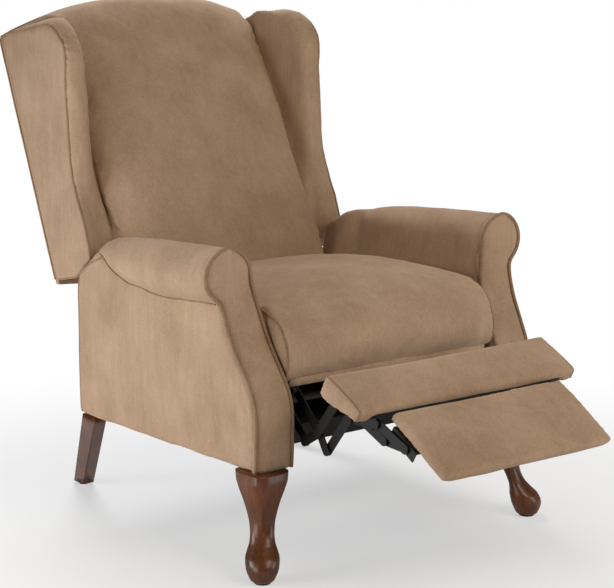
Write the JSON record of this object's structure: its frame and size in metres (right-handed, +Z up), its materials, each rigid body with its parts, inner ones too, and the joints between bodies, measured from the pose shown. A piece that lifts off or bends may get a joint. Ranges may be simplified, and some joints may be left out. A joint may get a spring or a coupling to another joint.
{
  "type": "wingback recliner",
  "caption": "Fabric wingback recliner with rolled arms, carved front legs, splayed rear legs, a leaning back and an open linked footrest with a fold-out extension.",
  "frame": {"origin": "on the floor, under the middle of the bounding box", "axes": "+X to the right seen from the front, +Y to the rear, +Z up"},
  "size_m": [0.8416, 1.446, 1.105],
  "materials": {
    "fabric": "brushed microsuede in warm tan",
    "polished_wood": "glossy cherry-brown lacquer",
    "frame_wood": "bare sawn frame wood",
    "black_steel": "black baked paint on pressed steel",
    "spring_steel": "oil-tempered wire",
    "nylon": "matte moulded nylon"
  },
  "bodies": {
    "base": {"left_arm": "fabric", "right_arm": "fabric", "left_arm_facing": "fabric", "right_arm_facing": "fabric", "left_arm_board": "frame_wood", "right_arm_board": "frame_wood", "front_rail": "frame_wood", "rear_rail": "frame_wood", "rear_panel": "fabric", "left_front_leg": "polished_wood", "right_front_leg": "polished_wood", "left_rear_leg": "polished_wood", "right_rear_leg": "polished_wood", "left_front_glide": "nylon", "right_front_glide": "nylon", "left_rear_glide": "nylon", "right_rear_glide": "nylon", "left_base_rail": "black_steel", "right_base_rail": "black_steel"},
    "front_swing": {"left_front_swing_link": "black_steel", "right_front_swing_link": "black_steel"},
    "seat": {"left_seat_plate": "black_steel", "right_seat_plate": "black_steel", "seat_frame": "frame_wood", "seat_spring_1": "spring_steel", "seat_spring_2": "spring_steel", "seat_spring_3": "spring_steel", "seat_spring_4": "spring_steel", "seat_spring_5": "spring_steel", "seat_cushion": "fabric"},
    "back": {"back_cushion": "fabric", "back_frame": "frame_wood", "outside_back": "fabric", "left_wing": "fabric", "right_wing": "fabric", "left_back_bracket": "black_steel", "right_back_bracket": "black_steel"},
    "front_links": {"left_front_link": "black_steel", "right_front_link": "black_steel"},
    "upper_links": {"left_upper_link": "black_steel", "right_upper_link": "black_steel"},
    "footrest": {"left_footrest_bracket": "black_steel", "right_footrest_bracket": "black_steel", "footrest_board": "frame_wood", "footrest_pad": "fabric"},
    "front_arms": {"left_extension_front_arm": "black_steel", "right_extension_front_arm": "black_steel"},
    "extension": {"left_extension_bracket": "black_steel", "right_extension_bracket": "black_steel", "extension_board": "frame_wood", "extension_pad": "fabric"},
    "rear_arms": {"left_extension_rear_arm": "black_steel", "right_extension_rear_arm": "black_steel"},
    "lower_links": {"left_lower_link": "black_steel", "right_lower_link": "black_steel"},
    "rear_links": {"left_rear_link": "black_steel", "right_rear_link": "black_steel", "drive_tube": "black_steel"},
    "rear_swing": {"left_rear_swing_link": "black_steel", "right_rear_swing_link": "black_steel"}
  },
  "joints": [
    {"name": "seat_swing", "type": "hinge", "parent": "base", "child": "front_swing", "pos_m": [0, -0.11477, 0.246], "axis": [1, 0, 0], "range_deg": [0, 15]},
    {"name": "rear_swing_turn", "type": "hinge", "parent": "base", "child": "rear_swing", "pos_m": [0, 0.13523, 0.246], "axis": [1, 0, 0], "range_deg": [0, 15]},
    {"name": "seat_level", "type": "hinge", "parent": "front_swing", "child": "seat", "pos_m": [0, -0.09877, 0.336], "axis": [-1, 0, 0], "range_deg": [0, 15]},
    {"name": "back_recline", "type": "hinge", "parent": "seat", "child": "back", "pos_m": [0, 0.26323, 0.43], "axis": [-1, 0, 0], "range_deg": [0, 20]},
    {"name": "footrest_fold", "type": "hinge", "parent": "seat", "child": "front_links", "pos_m": [0, -0.29077, 0.368], "axis": [1, 0, 0], "range_deg": [0, 64]},
    {"name": "rear_link_fold", "type": "hinge", "parent": "seat", "child": "rear_links", "pos_m": [0, -0.24777, 0.342], "axis": [1, 0, 0], "range_deg": [0, 64]},
    {"name": "upper_link_fold", "type": "hinge", "parent": "front_links", "child": "upper_links", "pos_m": [0, -0.36896, 0.29561], "axis": [-1, 0, 0], "range_deg": [0, 64]},
    {"name": "lower_link_fold", "type": "hinge", "parent": "front_links", "child": "lower_links", "pos_m": [0, -0.38986, 0.26317], "axis": [-1, 0, 0], "range_deg": [0, 64]},
    {"name": "footrest_tilt", "type": "hinge", "parent": "upper_links", "child": "footrest", "pos_m": [0, -0.43175, 0.37462], "axis": [1, 0, 0], "range_deg": [0, 64]},
    {"name": "front_arm_fold", "type": "hinge", "parent": "footrest", "child": "front_arms", "pos_m": [0, -0.52818, 0.3465], "axis": [1, 0, 0], "range_deg": [0, 140]},
    {"name": "rear_arm_fold", "type": "hinge", "parent": "footrest", "child": "rear_arms", "pos_m": [0, -0.46623, 0.34893], "axis": [1, 0, 0], "range_deg": [0, 140]},
    {"name": "extension_level", "type": "hinge", "parent": "front_arms", "child": "extension", "pos_m": [0, -0.60889, 0.31348], "axis": [-1, 0, 0], "range_deg": [0, 140]}
  ],
  "couplings": [
    {"joint": "rear_swing_turn", "follows": "seat_swing", "ratio": 1},
    {"joint": "seat_level", "follows": "seat_swing", "ratio": 1},
    {"joint": "back_recline", "follows": "seat_swing", "ratio": 1.3333},
    {"joint": "rear_link_fold", "follows": "footrest_fold", "ratio": 1},
    {"joint": "upper_link_fold", "follows": "footrest_fold", "ratio": 1},
    {"joint": "lower_link_fold", "follows": "footrest_fold", "ratio": 1},
    {"joint": "footrest_tilt", "follows": "footrest_fold", "ratio": 1},
    {"joint": "front_arm_fold", "follows": "footrest_fold", "ratio": 2.1875},
    {"joint": "rear_arm_fold", "follows": "footrest_fold", "ratio": 2.1875},
    {"joint": "extension_level", "follows": "footrest_fold", "ratio": 2.1875}
  ]
}
